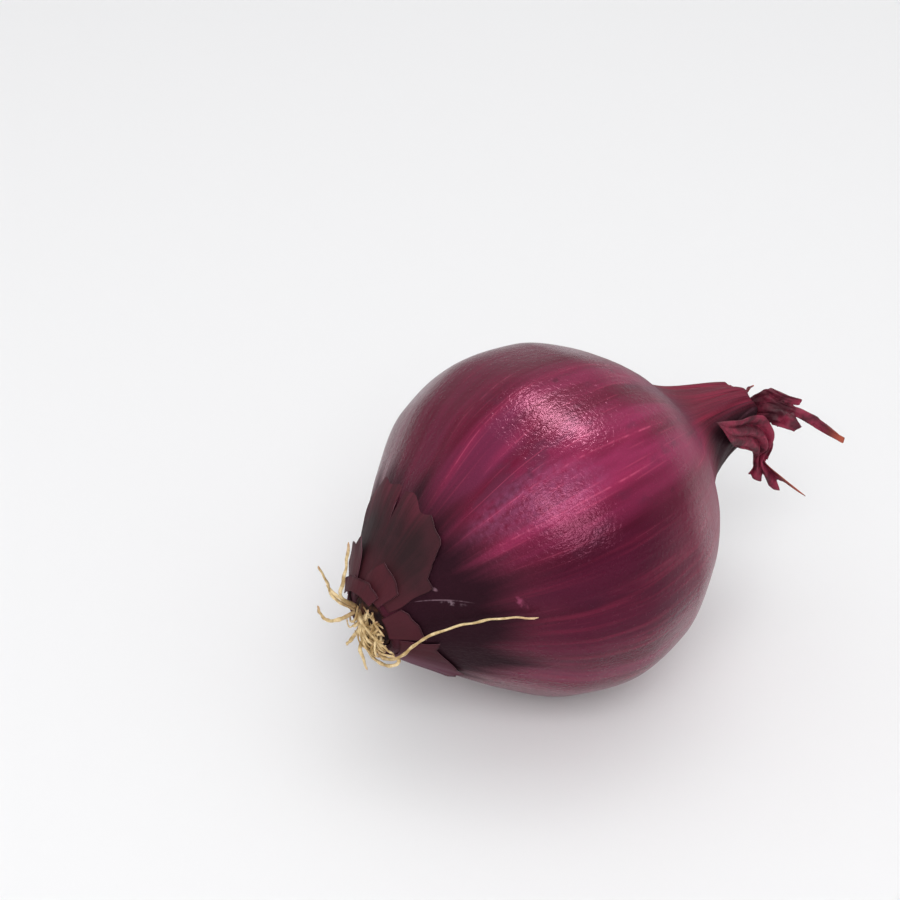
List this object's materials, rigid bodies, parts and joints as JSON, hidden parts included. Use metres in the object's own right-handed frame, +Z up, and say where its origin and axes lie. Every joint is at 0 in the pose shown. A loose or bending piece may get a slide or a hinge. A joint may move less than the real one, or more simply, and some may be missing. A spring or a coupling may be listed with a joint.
{
  "type": "red onion",
  "caption": "Whole red onion lying on its side, with dry papery skin, torn scraps and a root tuft at the base, and a short neck with withered leaf ends.",
  "frame": {"origin": "centre of the small flat spot under the bulb that it rests on", "axes": "+Z up from the surface, +X the way the neck points, +Y away from the side that the picture shows; the onion's own axis rises 7 degrees toward +X"},
  "size_m": [0.1289, 0.0788, 0.0767],
  "materials": {
    "bulb_skin": "satin",
    "root": "matte",
    "torn_skin": "matte",
    "root_scale": "matte",
    "withered_leaf": "matte"
  },
  "bodies": {
    "root": {"bulb": "bulb_skin", "root_tuft": "root", "torn_skin_1": "torn_skin", "torn_skin_2": "torn_skin", "torn_skin_3": "torn_skin", "torn_skin_4": "torn_skin", "torn_skin_5": "torn_skin", "root_scale_1": "root_scale", "root_scale_2": "root_scale", "root_scale_3": "root_scale", "root_scale_4": "root_scale", "root_scale_5": "root_scale", "withered_leaf_upper": "withered_leaf", "withered_leaf_inner": "withered_leaf", "withered_leaf_lower": "withered_leaf"}
  },
  "joints": []
}
